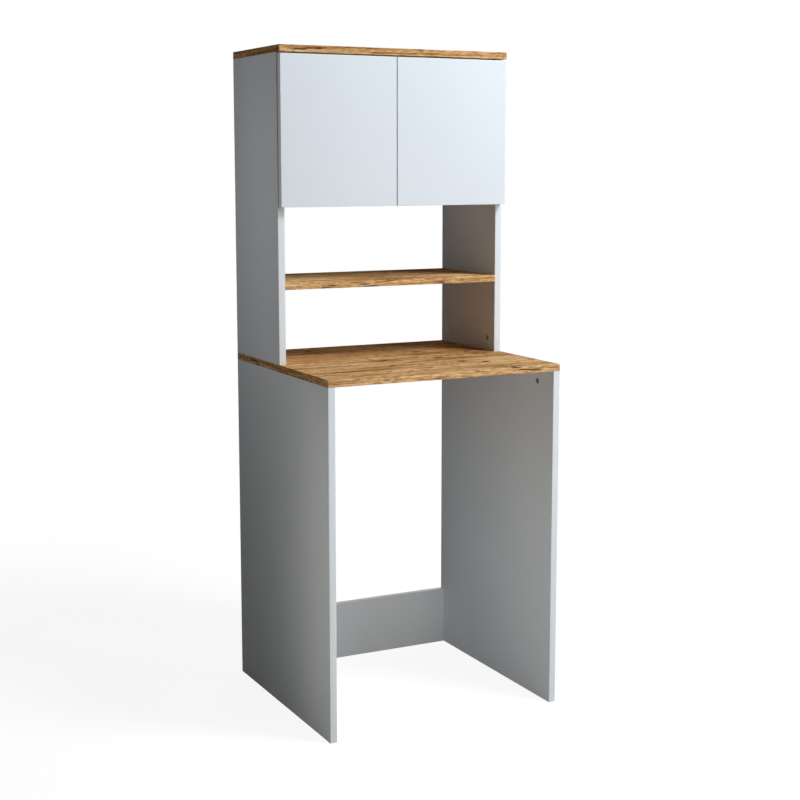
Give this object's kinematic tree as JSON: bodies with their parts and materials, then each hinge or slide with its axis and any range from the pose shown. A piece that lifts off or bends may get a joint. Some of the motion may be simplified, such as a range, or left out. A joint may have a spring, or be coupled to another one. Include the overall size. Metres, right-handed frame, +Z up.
{
  "type": "washing machine cabinet",
  "caption": "Tall flat-pack cabinet that bridges a washing machine: open bay, oak-look worktop, open niche with a shelf, and a handle-less cupboard under an oak-look top.",
  "frame": {"origin": "on the floor, in the middle of the cabinet's footprint", "axes": "+X to the right seen from the front, +Y to the back, +Z up"},
  "size_m": [0.65, 0.6, 1.7],
  "materials": {
    "white_melamine": "white melamine-faced chipboard, satin",
    "oak_melamine": "oak-look melamine-faced chipboard, matt",
    "hardboard": "white-lacquered hardboard",
    "white_band": "white edge band, satin",
    "oak_band": "oak-look edge band, matt",
    "zinc_casting": "raw zinc die casting",
    "zinc_plated_steel": "bright zinc-plated steel",
    "nickel_plated_steel": "nickel-plated steel",
    "beech": "raw beech",
    "clear_pad": "clear soft pad"
  },
  "bodies": {
    "carcass": {"back_panel": "hardboard", "back_panel_nails": "zinc_plated_steel", "compartment_floor": "white_melamine", "floor_band": "white_band", "floor_bolts": "zinc_plated_steel", "floor_cams": "zinc_casting", "floor_dowels": "beech", "hinge_arm_screws_left": "zinc_plated_steel", "hinge_arm_screws_right": "zinc_plated_steel", "hinge_arms_left": "nickel_plated_steel", "hinge_arms_right": "nickel_plated_steel", "hinge_plate_screws_left": "zinc_plated_steel", "hinge_plate_screws_right": "zinc_plated_steel", "hinge_plates_left": "nickel_plated_steel", "hinge_plates_right": "nickel_plated_steel", "hutch_foot_bolts": "zinc_plated_steel", "hutch_foot_cams": "zinc_casting", "hutch_foot_dowels": "beech", "hutch_side_band_left": "white_band", "hutch_side_band_right": "white_band", "hutch_side_left": "white_melamine", "hutch_side_right": "white_melamine", "lower_back_rail": "white_melamine", "lower_side_band_left": "white_band", "lower_side_band_right": "white_band", "lower_side_left": "white_melamine", "lower_side_right": "white_melamine", "open_shelf": "oak_melamine", "rail_band": "white_band", "rail_bolts": "zinc_plated_steel", "rail_cams": "zinc_casting", "rail_dowels": "beech", "shelf_band": "oak_band", "shelf_dowels": "beech", "top_bands": "oak_band", "top_bolts": "zinc_plated_steel", "top_cams": "zinc_casting", "top_dowels": "beech", "top_panel": "oak_melamine", "worktop": "oak_melamine", "worktop_bands": "oak_band", "worktop_bolts": "zinc_plated_steel", "worktop_cams": "zinc_casting", "worktop_dowels": "beech"},
    "door_left": {"door_bands_left": "white_band", "door_bumper_left": "clear_pad", "door_left": "white_melamine", "hinge_cup_screws_left": "zinc_plated_steel", "hinge_cups_left": "nickel_plated_steel", "hinge_pins_left": "zinc_plated_steel"},
    "door_right": {"door_bands_right": "white_band", "door_bumper_right": "clear_pad", "door_right": "white_melamine", "hinge_cup_screws_right": "zinc_plated_steel", "hinge_cups_right": "nickel_plated_steel", "hinge_pins_right": "zinc_plated_steel"}
  },
  "joints": [
    {"name": "door_left_hinge", "type": "hinge", "parent": "carcass", "child": "door_left", "pos_m": [-0.3163, -0.0112, 1.4895], "axis": [0, 0, -1], "range_deg": [0, 100]},
    {"name": "door_right_hinge", "type": "hinge", "parent": "carcass", "child": "door_right", "pos_m": [0.3163, -0.0112, 1.4895], "axis": [0, 0, 1], "range_deg": [0, 100]}
  ]
}
